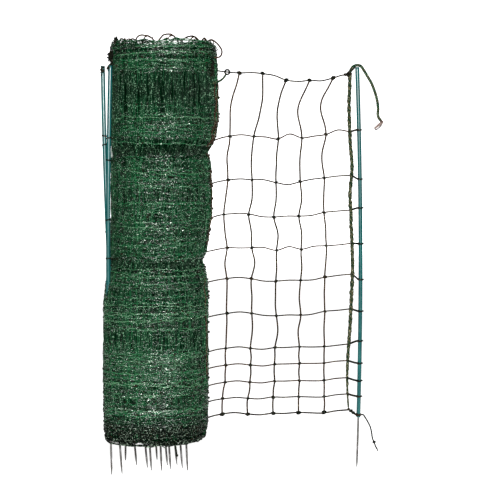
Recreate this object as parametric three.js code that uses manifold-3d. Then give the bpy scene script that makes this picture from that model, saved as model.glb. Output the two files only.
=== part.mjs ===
// Electric poultry netting, put away half unrolled: a roll of knotted netting stands on the
// steel spikes of thirteen posts, and the last stretch of net runs out of it to the end post.
// Millimetres, +Z up, the ground at z = 0. The net's flat stretch lies in the plane y = 0.

import * as THREE from 'three';
import { mergeVertices } from 'three/addons/utils/BufferGeometryUtils.js';
import Module from 'manifold-3d';

const wasm = await Module();
wasm.setup();

// Posts: a plastic rod with a steel spike moulded into its foot
const POST_RADIUS = 6.5;
const POST_LENGTH = 1086;
const SPIKE_RADIUS = 3.2;
const SPIKE_EXPOSED = 158;
const SPIKE_SOCKET = 40;
const SPIKE_POINT_LENGTH = 24;
const SPIKE_POINT_RADIUS = 1.5;
const STAKE_HEIGHT = SPIKE_EXPOSED + POST_LENGTH;

// Gap between touching pieces
const CLEARANCE = 0.3;

// Netting: heights of its twelve lines by their spacing, ground line first
const GROUND_LINE_HEIGHT = 167;
const LINE_SPACINGS = [50, 51, 54, 52, 110, 108, 96, 103, 107, 134, 194];
const LINE_RADIUS = 1.3;
const GROUND_LINE_RADIUS = 2;
const STAY_RADIUS = 1.4;
const STAY_PITCH = 76.5;
const STAY_COUNT = 5;
// How far the slack net strays from a regular grid, each list from the ground line to the top line:
// extra pitch and sideways sway of the stays at each line, and their bows between the lines
const STAY_SPREADS = [3, 2.5, 0.5, 0, 0, -0.5, -0.5, 0, 1, -2.5, -2.5, -4.5];
const STAY_SWAYS = [3.5, 2.5, 0.5, 0, 0, 2, 1.5, 5, -1, -4.5, 1, 20];
const STAY_BOWS = [
  [-1, -1, -1, 0, 0, 0, -7, -2, 0, -6, -11],
  [-1, 1, 2, 2, 3, 1, 9, 3, 5, -5, 10],
  [-1, -2, -1, 1, 6, -2, 2, 7, 3, -2, -14],
  [0, -1, -2, -2, -6, -4, 3, 5, 6, -3, -24],
  [1, 1, -1, 0, -2, -3, 1, 1, 0, -11, -27],
];
// Rise of a line at the roll, at each stay and at the end cord
const LOW_LINE_COUNT = 5;
const LOW_LINE_RISES = [-14, 0, 0, 3, 5, 6, 14];
const LINE_RISES = [-14, 0, 0, -8, -5, 6, 14];
const TOP_LINE_RISES = [8, 0, -1, -22, -22, -15, -6];

// The end post, and the cord that the lines end on
const END_POST_X = 393;
const END_POST_LEAN = -5;
const END_POST_BOW = 11;
const END_CORD_RADIUS = 3.4;
const END_CORD_TOP = 1224;
const END_CORD_BOTTOM = 190;
const END_CORD_TO_POST = 27;

// The roll: three bulges between its hems and its two waists
const ROLL_X = -217;
const ROLL_Y = -10;
const ROLL_BOTTOM = 98;
const ROLL_TOP = 1328;
const ROLL_WAISTS = [648, 988];
const ROLL_WAIST_RADII = [137, 136];
const ROLL_BULGE_RADII = [157, 155, 164];
const ROLL_BOTTOM_HEM_RADIUS = 143;
const ROLL_TOP_HEM_RADIUS = 147;
const ROLL_SIDES = 36;
const ROLL_END_TURNS = 3;
const ROLL_END_GROOVE = 9;
// How far the slumped roll leans to either side: height and lean
const ROLL_LEANS = [[100, -12], [560, -10], [650, -15], [800, 4], [990, 2], [1090, 17], [1330, 10]];
// The net is stretched over the posts that lie in its outer turns: bearing, swell and top of each
const FRONT_SWELL_TOP = 610;
const BACK_SWELL_TOP = 480;
const SWELL_FADE_BELOW = 90;
const SWELL_FADE_ABOVE = 40;
const ROLL_SWELLS = [
  { bearing: 214, swell: 26, spread: 21, top: FRONT_SWELL_TOP },
  { bearing: 134, swell: 12, spread: 18, top: BACK_SWELL_TOP },
];

// Posts in the roll: spike tip and top end of each, from the middle of the roll, and its sideways bow
const ROLLED_STAKES = [
  { tip: [-146, -102], top: [-145, -72], bow: -9 },
  { tip: [-116, -86], top: [-170, -50], bow: -10 },
  { tip: [-122, 104], top: [-63, 65], bow: -10 },
  { tip: [-81, 37], top: [-108, 40], bow: -22 },
  { tip: [-44, -3], top: [-73, -5], bow: -22 },
  { tip: [-29, -42], top: [-24, -50], bow: -22 },
  { tip: [-22, 118], top: [-6, 102], bow: -22 },
  { tip: [3, -45], top: [30, -55], bow: -22 },
  { tip: [16, 34], top: [-4, 25], bow: -22 },
  { tip: [29, -20], top: [34, -20], bow: -22 },
  { tip: [46, 42], top: [4, 68], bow: -22 },
  { tip: [65, -6], top: [51, 5], bow: -22 },
  { tip: [83, -42], top: [105, -50], bow: -22 },
];

// Ties that knot the end cord to the end post: rise of each from its line to the post
const TIE_RISES = [-7, -9, -8, 10, -7, -16, -1, 7, -11, 6];
const TIE_WALL = 2.6;
const TIE_HEIGHT = 5;
const TIE_ARM_RADIUS = 2;
const FOOT_TIE_HEIGHT = GROUND_LINE_HEIGHT - 1;
const FOOT_TIE_RISE = 20;

// Feed lead: green cord from the end cord's top, over the end post and down to a metal clip;
// its route is measured from the top of the end cord
const LEAD_RADIUS = 3.8;
const LEAD_ROUTE = [
  [0, 0, 0.4], [0.5, 0, 7], [4, 0, 15], [11.5, 0, 23], [22, 0, 26], [33, 0, 23],
  [42, 0, 11], [53, 0, -7], [66, 0, -29], [76, 0, -54], [82, 0, -74], [86, 0, -95],
  [87, 0, -111], [86, 0, -124], [89, 0, -135], [95, 0, -143],
];
const CLIP_LENGTH = 32;
const CLIP_WIDTH = 9;
const CLIP_THICKNESS = 5;
const CLIP_TURN = 219;
const CLIP_COLLAR_RADIUS = 4.6;
const CLIP_COLLAR_LENGTH = 7;

// Loose ends of the polywire: the ground line's, from its tie at the end post, and one of the roll,
// from the middle of the roll's lower end
const TAIL_RADIUS = 1.9;
const GROUND_TAIL_ROUTE = [
  [14.2, 0, 0], [19, 0, -0.4], [25.5, 0, -9], [35, 0, -25], [42, 0, -40], [46, 0, -58],
  [49, 0, -76], [54, 0, -87], [58, 0, -99], [64, 0, -110],
];
const ROLL_TAIL_ROUTE = [
  [50, -126.8, -0.4], [50.5, -127, -6], [51.5, -128, -12], [53, -128.5, -21], [54, -129, -32],
];

// Second feed lead, folded out of the roll's top turns, with an eye; its route is measured from
// the middle of the roll's upper end
const RING_LEAD_RADIUS = 3.2;
const RING_LEAD_ROUTE = [
  [164.4, -66.6, -136], [171, -69.5, -135], [180, -72, -132], [190, -72, -126.5], [198, -71, -118.5],
  [202.5, -70, -111],
];
const EYE_RADIUS = 7;
const EYE_WIRE_RADIUS = 2;

const POST_SIDES = 8;
const POST_STEPS = 4;
const SPIKE_SIDES = 6;
const STRAND_SIDES = 4;
const CORD_SIDES = 8;

const plasticGreen = new THREE.MeshStandardMaterial({ color: 0x2f7f7c, roughness: 0.35, metalness: 0 });
const galvanised = new THREE.MeshStandardMaterial({ color: 0x8c8a86, roughness: 0.45, metalness: 0.9 });
const nettingGreen = new THREE.MeshStandardMaterial({ color: 0x0f5a33, roughness: 0.5, metalness: 0 });
const polywireBrown = new THREE.MeshStandardMaterial({ color: 0x4a3f30, roughness: 0.55, metalness: 0 });
const leadGreen = new THREE.MeshStandardMaterial({ color: 0x4c6b45, roughness: 0.55, metalness: 0 });
const clipSteel = new THREE.MeshStandardMaterial({ color: 0xb4b2ae, roughness: 0.3, metalness: 1 });

// Solids from closed meshes, and meshes back from solids

function toSolid(geometry) {
  const bare = geometry.clone();
  for (const name of Object.keys(bare.attributes)) {
    if (name !== 'position') bare.deleteAttribute(name);
  }
  const merged = mergeVertices(bare, 1e-4);
  return new wasm.Manifold(new wasm.Mesh({
    numProp: 3,
    vertProperties: new Float32Array(merged.attributes.position.array),
    triVerts: new Uint32Array(merged.index.array),
  }));
}

function toGeometry(solid) {
  const mesh = solid.getMesh();
  const geometry = new THREE.BufferGeometry();
  geometry.setAttribute('position', new THREE.BufferAttribute(mesh.vertProperties, mesh.numProp));
  geometry.setIndex(new THREE.BufferAttribute(mesh.triVerts, 1));
  geometry.computeVertexNormals();
  return geometry;
}

function joined(solids) {
  return solids.reduce((whole, solid) => whole.add(solid));
}

// A tube along a smooth curve through points
function tubeAlong(points, radius, sides, steps) {
  const ring = [];
  for (let side = 0; side < sides; side += 1) {
    const angle = (side / sides) * Math.PI * 2;
    ring.push(new THREE.Vector2(radius * Math.cos(angle), radius * Math.sin(angle)));
  }
  const curve = new THREE.CatmullRomCurve3(points.map((point) => new THREE.Vector3(...point)), false, 'centripetal');
  return new THREE.ExtrudeGeometry(new THREE.Shape(ring), { steps, bevelEnabled: false, extrudePath: curve });
}

function movedVertices(geometry, move) {
  const position = geometry.attributes.position;
  const point = new THREE.Vector3();
  for (let index = 0; index < position.count; index += 1) {
    point.fromBufferAttribute(position, index);
    move(point);
    position.setXYZ(index, point.x, point.y, point.z);
  }
  return geometry;
}

// Stakes: the axis of post and spike is one gentle bow from the tip on the ground to the top

const endStake = { tip: [END_POST_X, 0], top: [END_POST_X + END_POST_LEAN, 0], bow: END_POST_BOW };
const rolledStakes = ROLLED_STAKES.map(({ tip, top, bow }) => (
  { tip: [ROLL_X + tip[0], ROLL_Y + tip[1]], top: [ROLL_X + top[0], ROLL_Y + top[1]], bow }));
const stakes = [...rolledStakes, endStake];

function stakeAxis(stake, height) {
  const share = height / STAKE_HEIGHT;
  const bulge = 4 * share * (1 - share) * stake.bow;
  return [
    stake.tip[0] + (stake.top[0] - stake.tip[0]) * share + bulge,
    stake.tip[1] + (stake.top[1] - stake.tip[1]) * share,
  ];
}

function bentToStake(geometry, stake) {
  return movedVertices(geometry, (point) => {
    const [x, y] = stakeAxis(stake, point.z);
    point.x += x;
    point.y += y;
  });
}

function stakeRod(stake, radius, heights, sides) {
  const profile = [
    new THREE.Vector2(0, heights[0]),
    ...heights.map((height) => new THREE.Vector2(radius, height)),
    new THREE.Vector2(0, heights.at(-1)),
  ];
  const rod = new THREE.LatheGeometry(profile, sides);
  rod.rotateX(Math.PI / 2);
  return toSolid(bentToStake(rod, stake));
}

const postHeights = Array.from({ length: POST_STEPS + 1 }, (_, step) => SPIKE_EXPOSED + (POST_LENGTH * step) / POST_STEPS);

function postGeometry(stake) {
  const rod = stakeRod(stake, POST_RADIUS, postHeights, POST_SIDES);
  const socketEnds = [SPIKE_EXPOSED - SPIKE_SOCKET, SPIKE_EXPOSED, SPIKE_EXPOSED + SPIKE_SOCKET + CLEARANCE];
  return toGeometry(rod.subtract(stakeRod(stake, SPIKE_RADIUS + CLEARANCE, socketEnds, SPIKE_SIDES)));
}

// The room that a post takes up in what is wound or tied round it, down to the ground
function postSpace(stake) {
  const heights = [0, ...postHeights.slice(0, -1), STAKE_HEIGHT + CLEARANCE];
  return stakeRod(stake, POST_RADIUS + CLEARANCE, heights, POST_SIDES);
}

function spikeGeometry(stake) {
  const profile = [
    new THREE.Vector2(0, 0),
    new THREE.Vector2(SPIKE_POINT_RADIUS, 0),
    new THREE.Vector2(SPIKE_RADIUS, SPIKE_POINT_LENGTH),
    new THREE.Vector2(SPIKE_RADIUS, SPIKE_EXPOSED),
    new THREE.Vector2(SPIKE_RADIUS, SPIKE_EXPOSED + SPIKE_SOCKET),
    new THREE.Vector2(0, SPIKE_EXPOSED + SPIKE_SOCKET),
  ];
  const spike = new THREE.LatheGeometry(profile, SPIKE_SIDES);
  spike.rotateX(Math.PI / 2);
  return toGeometry(toSolid(bentToStake(spike, stake)));
}

// Roll of netting

function between(table, height) {
  const last = table.length - 1;
  if (height <= table[0][0]) return table[0][1];
  for (let row = 0; row < last; row += 1) {
    const [low, from] = table[row];
    const [high, to] = table[row + 1];
    if (height <= high) return from + ((to - from) * (height - low)) / (high - low);
  }
  return table[last][1];
}

function rollMiddle(height) {
  return ROLL_X + between(ROLL_LEANS, height);
}

// Height and radius down the side of the roll: each bulge rounds in to the waist or hem at its ends
function rollSide() {
  const ends = [ROLL_BOTTOM, ...ROLL_WAISTS, ROLL_TOP];
  const endRadii = [ROLL_BOTTOM_HEM_RADIUS, ...ROLL_WAIST_RADII, ROLL_TOP_HEM_RADIUS];
  const shares = [0, 0.035, 0.1, 0.25, 0.5, 0.75, 0.9, 0.965];
  const side = [];
  ROLL_BULGE_RADII.forEach((bulge, index) => {
    const height = ends[index + 1] - ends[index];
    for (const share of shares) {
      const waist = endRadii[index] + (endRadii[index + 1] - endRadii[index]) * share;
      const roundness = Math.sqrt(1 - Math.pow(Math.abs(2 * share - 1), 8));
      side.push([ends[index] + height * share, waist + (bulge - waist) * roundness]);
    }
  });
  side.push([ROLL_TOP, ROLL_TOP_HEM_RADIUS]);
  return side;
}

// The turns show on each end of the roll as rings with a groove between them
function rollEnd(edge, rimRadius, inward) {
  const rings = [];
  const turn = rimRadius / (2 * ROLL_END_TURNS + 1);
  for (let ring = 2 * ROLL_END_TURNS; ring > 0; ring -= 1) {
    rings.push([edge + inward * (ring % 2 ? 0.4 : 1.6) * ROLL_END_GROOVE, ring * turn]);
  }
  rings.push([edge + inward * 2 * ROLL_END_GROOVE, 0]);
  return rings;
}

const HALF_TURN = 180;

function swellAt(bearing, height) {
  return ROLL_SWELLS.reduce((sum, post) => {
    const off = THREE.MathUtils.euclideanModulo(bearing - post.bearing + HALF_TURN, 2 * HALF_TURN) - HALF_TURN;
    const above = THREE.MathUtils.smoothstep(height, post.top - SWELL_FADE_BELOW, post.top + SWELL_FADE_ABOVE);
    return sum + post.swell * Math.exp(-((off / post.spread) ** 2)) * (1 - above);
  }, 0);
}

function rollBody(extra) {
  const bottomEnd = rollEnd(ROLL_BOTTOM, ROLL_BOTTOM_HEM_RADIUS, 1).reverse();
  const topEnd = rollEnd(ROLL_TOP, ROLL_TOP_HEM_RADIUS, -1);
  const profile = [...bottomEnd, ...rollSide(), ...topEnd].map(([height, radius]) => (
    new THREE.Vector2(radius > 0 ? radius + extra : 0, height)));
  const body = new THREE.LatheGeometry(profile, ROLL_SIDES);
  body.rotateX(Math.PI / 2);
  return toSolid(movedVertices(body, (point) => {
    const radius = Math.hypot(point.x, point.y);
    const bearing = THREE.MathUtils.radToDeg(Math.atan2(point.y, point.x));
    const rimShare = THREE.MathUtils.smoothstep(radius, ROLL_BOTTOM_HEM_RADIUS * 0.7, ROLL_BOTTOM_HEM_RADIUS);
    const grown = radius > 0 ? 1 + (swellAt(bearing, point.z) * rimShare) / radius : 1;
    point.x = point.x * grown + rollMiddle(point.z);
    point.y = point.y * grown + ROLL_Y;
  }));
}

// Flat stretch of net: lines and stays fused where they are knotted

const lineHeights = LINE_SPACINGS.reduce((heights, step) => [...heights, heights.at(-1) + step], [GROUND_LINE_HEIGHT]);
const TOP_LINE = lineHeights.length - 1;
const END_CORD_X = END_POST_X - END_CORD_TO_POST;

function columnX(column, line) {
  if (column > STAY_COUNT) return endCordX(nodeHeight(column, line));
  return END_CORD_X - (STAY_COUNT + 1 - column) * (STAY_PITCH + STAY_SPREADS[line]) + STAY_SWAYS[line];
}

function nodeHeight(column, line) {
  const rises = line < LOW_LINE_COUNT ? LOW_LINE_RISES : LINE_RISES;
  return lineHeights[line] + (line === TOP_LINE ? TOP_LINE_RISES : rises)[column];
}

function rollEdgeX(line) {
  const height = lineHeights[line];
  return rollMiddle(height) + between(rollSide(), height) - 20;
}

function linePath(line) {
  const points = [[rollEdgeX(line), 0, nodeHeight(0, line)]];
  for (let column = 1; column <= STAY_COUNT + 1; column += 1) {
    points.push([columnX(column, line), 0, nodeHeight(column, line)]);
  }
  return points;
}

function stayPath(column) {
  const points = [];
  for (let line = 0; line <= TOP_LINE; line += 1) {
    points.push([columnX(column, line), 0, nodeHeight(column, line)]);
    if (line < TOP_LINE) {
      const x = (columnX(column, line) + columnX(column, line + 1)) / 2 + STAY_BOWS[column - 1][line];
      points.push([x, 0, (nodeHeight(column, line) + nodeHeight(column, line + 1)) / 2]);
    }
  }
  return points;
}

function endCordPath() {
  const sways = [0, -4, -3, 2, 6, 9, 11, 8, 6, 2, 8, 3, -1, -2, 0];
  return sways.map((sway, index) => [
    END_CORD_X + sway, 0, END_CORD_BOTTOM + ((END_CORD_TOP - END_CORD_BOTTOM) * index) / (sways.length - 1),
  ]);
}

function endCordX(height) {
  return between(endCordPath().map(([x, , z]) => [z, x]), height);
}

// Routes of the cords, from the places where they hang
function routeFrom([x, y, z], route) {
  return route.map((point) => [x + point[0], y + point[1], z + point[2]]);
}

const leadPath = routeFrom([END_CORD_X, 0, END_CORD_TOP], LEAD_ROUTE);
const groundTailPath = routeFrom([END_POST_X, 0, FOOT_TIE_HEIGHT], GROUND_TAIL_ROUTE);
const rollTailPath = routeFrom([ROLL_X, ROLL_Y, ROLL_BOTTOM], ROLL_TAIL_ROUTE);
const ringLeadPath = routeFrom([ROLL_X, ROLL_Y, ROLL_TOP], RING_LEAD_ROUTE);

const endCordSteps = 34;
const endCordSolid = toSolid(tubeAlong(endCordPath(), END_CORD_RADIUS, CORD_SIDES, endCordSteps));
const endCordSpace = toSolid(tubeAlong(endCordPath(), END_CORD_RADIUS + CLEARANCE, CORD_SIDES, endCordSteps));

function netPanel() {
  const strands = [];
  for (let line = 0; line <= TOP_LINE; line += 1) {
    const radius = line === 0 ? GROUND_LINE_RADIUS : LINE_RADIUS;
    strands.push(toSolid(tubeAlong(linePath(line), radius, STRAND_SIDES, 12)));
  }
  for (let column = 1; column <= STAY_COUNT; column += 1) {
    strands.push(toSolid(tubeAlong(stayPath(column), STAY_RADIUS, STRAND_SIDES, 22)));
  }
  return joined(strands).subtract(rollBody(CLEARANCE)).subtract(endCordSpace);
}

// Ties round the end post

function tieRing(height) {
  const inner = POST_RADIUS + CLEARANCE;
  const profile = [
    new THREE.Vector2(inner, -TIE_HEIGHT / 2),
    new THREE.Vector2(inner + TIE_WALL, -TIE_HEIGHT / 2),
    new THREE.Vector2(inner + TIE_WALL, TIE_HEIGHT / 2),
    new THREE.Vector2(inner, TIE_HEIGHT / 2),
    new THREE.Vector2(inner, -TIE_HEIGHT / 2),
  ];
  const ring = new THREE.LatheGeometry(profile, POST_SIDES);
  ring.rotateX(Math.PI / 2);
  const [x, y] = stakeAxis(endStake, height);
  ring.translate(x, y, height);
  return toSolid(ring);
}

function postTie(height, rise) {
  const ringHeight = height + rise;
  const [postX] = stakeAxis(endStake, ringHeight);
  const fromX = endCordX(height);
  const arm = [
    [fromX, 0, height],
    [(fromX + postX) / 2, 0, height + rise * 0.7],
    [postX - POST_RADIUS, 0, ringHeight],
  ];
  const armSolid = toSolid(tubeAlong(arm, TIE_ARM_RADIUS, STRAND_SIDES, 3));
  return armSolid.add(tieRing(ringHeight)).subtract(endCordSpace).subtract(postSpace(endStake));
}

// Metal clip: a flat jaw with a round collar that the lead is crimped into
function leadClip() {
  const end = new THREE.Vector3(...leadPath.at(-1));
  const heading = end.clone().sub(new THREE.Vector3(...leadPath.at(-2))).normalize();
  const outline = new THREE.Shape();
  const half = CLIP_WIDTH / 2;
  outline.moveTo(0, -half);
  outline.lineTo(CLIP_LENGTH - half, -half * 0.7);
  outline.absarc(CLIP_LENGTH - half, 0, half * 0.7, -Math.PI / 2, Math.PI / 2, false);
  outline.lineTo(0, half);
  outline.absarc(0, 0, half, Math.PI / 2, Math.PI * 1.5, false);
  const jaw = new THREE.ExtrudeGeometry(outline, { depth: CLIP_THICKNESS, bevelEnabled: false, curveSegments: 5 });
  jaw.translate(0, 0, -CLIP_THICKNESS / 2);
  jaw.rotateX(Math.PI / 2);
  jaw.rotateY((-CLIP_TURN * Math.PI) / 180);
  const collarStart = end.clone().addScaledVector(heading, CLEARANCE);
  const collarEnd = collarStart.clone().addScaledVector(heading, CLIP_COLLAR_LENGTH);
  jaw.translate(collarEnd.x, collarEnd.y, collarEnd.z);
  const collar = tubeAlong([collarStart.toArray(), collarEnd.toArray()], CLIP_COLLAR_RADIUS, CORD_SIDES, 1);
  return toSolid(jaw).add(toSolid(collar));
}

// Round eye at the end of the second lead, parallel to the flat stretch of net
function wireEye() {
  const end = new THREE.Vector3(...ringLeadPath.at(-1));
  const heading = end.clone().sub(new THREE.Vector3(...ringLeadPath.at(-2))).normalize();
  const eye = new THREE.TorusGeometry(EYE_RADIUS, EYE_WIRE_RADIUS, 6, 16);
  eye.rotateX(Math.PI / 2);
  const reach = EYE_RADIUS + EYE_WIRE_RADIUS + CLEARANCE;
  const centre = end.clone().addScaledVector(heading, reach);
  eye.translate(centre.x, centre.y, centre.z);
  return eye;
}

// Assembly

const object = new THREE.Group();
const looseNames = new Set(['lead_cord', 'lead_clip', 'ground_tail', 'ring_lead', 'lead_eye', 'roll_tail']);

function addPiece(name, geometry, material) {
  const mesh = new THREE.Mesh(geometry, material);
  mesh.name = name;
  object.add(mesh);
}

function twoDigits(number) {
  return String(number).padStart(2, '0');
}

const rollSolid = stakes.slice(0, -1).reduce((roll, stake) => roll.subtract(postSpace(stake)), rollBody(0));
addPiece('net_roll', toGeometry(rollSolid), nettingGreen);
addPiece('net_panel', toGeometry(netPanel()), polywireBrown);
addPiece('end_cord', toGeometry(endCordSolid), leadGreen);

stakes.forEach((stake, index) => {
  addPiece(`post_${twoDigits(index + 1)}`, postGeometry(stake), plasticGreen);
  addPiece(`spike_${twoDigits(index + 1)}`, spikeGeometry(stake), galvanised);
});

TIE_RISES.forEach((rise, index) => {
  const line = index + 1;
  const tie = postTie(nodeHeight(STAY_COUNT + 1, line), rise);
  addPiece(`post_tie_${twoDigits(line + 1)}`, toGeometry(tie), polywireBrown);
});
const footTie = postTie(FOOT_TIE_HEIGHT + FOOT_TIE_RISE + END_CORD_RADIUS, -FOOT_TIE_RISE - END_CORD_RADIUS);
addPiece('foot_tie', toGeometry(footTie), polywireBrown);

addPiece('lead_cord', tubeAlong(leadPath, LEAD_RADIUS, CORD_SIDES, 34), leadGreen);
addPiece('lead_clip', toGeometry(leadClip()), clipSteel);
addPiece('ground_tail', tubeAlong(groundTailPath, TAIL_RADIUS, CORD_SIDES, 22), polywireBrown);
addPiece('ring_lead', tubeAlong(ringLeadPath, RING_LEAD_RADIUS, CORD_SIDES, 10), leadGreen);
addPiece('lead_eye', wireEye(), leadGreen);
addPiece('roll_tail', tubeAlong(rollTailPath, TAIL_RADIUS, CORD_SIDES, 8), polywireBrown);

// The origin is the middle of the footprint, on the ground, without the loose ends
const footprint = new THREE.Box3();
for (const piece of object.children) {
  if (!looseNames.has(piece.name)) footprint.expandByObject(piece);
}
const middle = footprint.getCenter(new THREE.Vector3());
object.position.set(-middle.x, -middle.y, -footprint.min.z);

export default object;
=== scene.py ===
"""Electric poultry netting: most of it stands rolled up on its posts' spikes, the last stretch is
unrolled to the end post. Everything is in metres. Shapes are worked out in the net's own frame, where
the flat stretch lies in the plane y = 0, and place() moves them into the row's frame."""

import math

import bpy
import numpy as np
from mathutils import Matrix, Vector


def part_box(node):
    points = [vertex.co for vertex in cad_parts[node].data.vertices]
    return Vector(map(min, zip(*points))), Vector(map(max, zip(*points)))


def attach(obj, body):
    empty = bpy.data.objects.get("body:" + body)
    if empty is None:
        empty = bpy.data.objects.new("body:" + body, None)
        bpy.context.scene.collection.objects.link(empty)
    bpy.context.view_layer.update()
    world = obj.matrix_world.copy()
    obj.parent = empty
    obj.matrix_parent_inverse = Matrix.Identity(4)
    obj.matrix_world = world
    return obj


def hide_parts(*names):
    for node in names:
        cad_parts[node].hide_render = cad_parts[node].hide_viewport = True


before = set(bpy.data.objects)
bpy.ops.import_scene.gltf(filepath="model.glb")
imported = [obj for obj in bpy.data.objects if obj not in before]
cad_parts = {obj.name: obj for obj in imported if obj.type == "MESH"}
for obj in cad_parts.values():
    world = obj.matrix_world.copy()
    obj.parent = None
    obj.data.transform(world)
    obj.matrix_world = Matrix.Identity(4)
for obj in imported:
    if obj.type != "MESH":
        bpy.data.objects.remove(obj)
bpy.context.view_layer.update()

random = np.random.default_rng(20)

# Posts and spikes
POST_RADIUS = 0.0065
POST_LENGTH = 1.086
SPIKE_RADIUS = 0.0032
SPIKE_EXPOSED = 0.158
SPIKE_SOCKET = 0.040
SPIKE_POINT_LENGTH = 0.024
SPIKE_POINT_RADIUS = 0.0015
STAKE_HEIGHT = SPIKE_EXPOSED + POST_LENGTH
END_STAKE = {"tip": (0.393, 0.0), "top": (0.388, 0.0), "bow": 0.011}
# Posts in the roll: tip and top of each from the middle of the roll, and its sideways bow
ROLLED_STAKES = [
    ((-0.146, -0.102), (-0.145, -0.072), -0.009),
    ((-0.116, -0.086), (-0.170, -0.050), -0.010),
    ((-0.122, 0.104), (-0.063, 0.065), -0.010),
    ((-0.081, 0.037), (-0.108, 0.040), -0.022),
    ((-0.044, -0.003), (-0.073, -0.005), -0.022),
    ((-0.029, -0.042), (-0.024, -0.050), -0.022),
    ((-0.022, 0.118), (-0.006, 0.102), -0.022),
    ((0.003, -0.045), (0.030, -0.055), -0.022),
    ((0.016, 0.034), (-0.004, 0.025), -0.022),
    ((0.029, -0.020), (0.034, -0.020), -0.022),
    ((0.046, 0.042), (0.004, 0.068), -0.022),
    ((0.065, -0.006), (0.051, 0.005), -0.022),
    ((0.083, -0.042), (0.105, -0.050), -0.022),
]

# Netting
GROUND_LINE_HEIGHT = 0.167
LINE_SPACINGS = [0.050, 0.051, 0.054, 0.052, 0.110, 0.108, 0.096, 0.103, 0.107, 0.134, 0.194]
LINE_HEIGHTS = GROUND_LINE_HEIGHT + np.concatenate([[0], np.cumsum(LINE_SPACINGS)])
TOP_LINE = len(LINE_HEIGHTS) - 1
STAY_PITCH = 0.0765
STAY_COUNT = 5
END_CORD_X = 0.366
END_CORD_BOTTOM = 0.190
END_CORD_TOP = 1.224
STAY_SPREADS = [0.003, 0.0025, 0.0005, 0, 0, -0.0005, -0.0005, 0, 0.001, -0.0025, -0.0025, -0.0045]
STAY_SWAYS = [0.0035, 0.0025, 0.0005, 0, 0, 0.002, 0.0015, 0.005, -0.001, -0.0045, 0.001, 0.020]
STAY_BOWS = [
    [-0.001, -0.001, -0.001, 0, 0, 0, -0.007, -0.002, 0, -0.006, -0.011],
    [-0.001, 0.001, 0.002, 0.002, 0.003, 0.001, 0.009, 0.003, 0.005, -0.005, 0.010],
    [-0.001, -0.002, -0.001, 0.001, 0.006, -0.002, 0.002, 0.007, 0.003, -0.002, -0.014],
    [0, -0.001, -0.002, -0.002, -0.006, -0.004, 0.003, 0.005, 0.006, -0.003, -0.024],
    [0.001, 0.001, -0.001, 0, -0.002, -0.003, 0.001, 0.001, 0, -0.011, -0.027],
]
LOW_LINE_COUNT = 5
LOW_LINE_RISES = [-0.014, 0, 0, 0.003, 0.005, 0.006, 0.014]
LINE_RISES = [-0.014, 0, 0, -0.008, -0.005, 0.006, 0.014]
TOP_LINE_RISES = [0.008, 0, -0.001, -0.022, -0.022, -0.015, -0.006]
# How far a line hangs above or below the straight way to its next knot, from the roll to the end cord
LOW_LINE_BOWS = [0.002, 0.004, -0.004, 0, -0.001, 0.001]
LINE_BOWS = [0.002, 0.004, -0.003, 0.001, -0.004, 0]
HIGH_LINE_BOWS = {7: [0, 0, 0.005, 0.010, 0.004, 0], 9: [0.002, 0.003, 0.004, -0.008, 0, 0.003],
                  10: [0.002, 0.005, 0.002, 0.012, 0, 0.009], 11: [-0.002, 0.001, 0.004, -0.003, -0.006, 0.004]}
END_CORD_SWAYS = [
    0, -0.004, -0.003, 0.002, 0.006, 0.009, 0.011, 0.008, 0.006, 0.002, 0.008, 0.003, -0.001, -0.002, 0]
TIE_RISES = [-0.007, -0.009, -0.008, 0.010, -0.007, -0.016, -0.001, 0.007, -0.011, 0.006]

# Roll
ROLL_X = -0.217
ROLL_Y = -0.010
ROLL_BOTTOM = 0.098
ROLL_TOP = 1.328
WAISTS = (0.648, 0.988)
ROLL_ENDS = np.array([ROLL_BOTTOM, *WAISTS, ROLL_TOP])
ROLL_END_RADII = np.array([0.143, 0.137, 0.136, 0.147])
ROLL_BULGE_RADII = np.array([0.157, 0.155, 0.164])
ROLL_LEAN_HEIGHTS = [0.100, 0.560, 0.650, 0.800, 0.990, 1.090, 1.330]
ROLL_LEANS = [-0.012, -0.010, -0.015, 0.004, 0.002, 0.017, 0.010]
# Both waists are drawn in further at the front
WAIST_CREASE = 0.014
WAIST_CREASE_WIDTH = 0.011
# Swells over the outer posts: bearing and spread in degrees with the rise between them, and the top
ROLL_SWELLS = [(214, 0.026, 21, 0.610), (134, 0.012, 18, 0.480)]
SWELL_FADE_START = 0.090
SWELL_FADE_LENGTH = 0.130

# Cords, as they lie, each from the place that it hangs from
END_POST_X = END_STAKE["tip"][0]
LEAD_ROUTE = [
    (0, 0, 0.0004), (0.0005, 0, 0.007), (0.004, 0, 0.015), (0.0115, 0, 0.023), (0.022, 0, 0.026),
    (0.033, 0, 0.023), (0.042, 0, 0.011), (0.053, 0, -0.007), (0.066, 0, -0.029), (0.076, 0, -0.054),
    (0.082, 0, -0.074), (0.086, 0, -0.095), (0.087, 0, -0.111), (0.086, 0, -0.124), (0.089, 0, -0.135),
    (0.095, 0, -0.143),
]
GROUND_TAIL_ROUTE = [
    (0.0142, 0, 0), (0.019, 0, -0.0004), (0.0255, 0, -0.009), (0.035, 0, -0.025), (0.042, 0, -0.040),
    (0.046, 0, -0.058), (0.049, 0, -0.076), (0.054, 0, -0.087), (0.058, 0, -0.099), (0.064, 0, -0.110),
]
ROLL_TAIL_ROUTE = [
    (0.050, -0.1268, -0.0004), (0.0505, -0.127, -0.006), (0.0515, -0.128, -0.012),
    (0.053, -0.1285, -0.021), (0.054, -0.129, -0.032),
]
RING_LEAD_ROUTE = [
    (0.1644, -0.0666, -0.136), (0.171, -0.0695, -0.135), (0.180, -0.072, -0.132),
    (0.190, -0.072, -0.1265), (0.198, -0.071, -0.1185), (0.2025, -0.070, -0.111),
]
FOOT_TIE_HEIGHT = GROUND_LINE_HEIGHT - 0.001
lead_route = np.add(LEAD_ROUTE, (END_CORD_X, 0, END_CORD_TOP))
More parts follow.
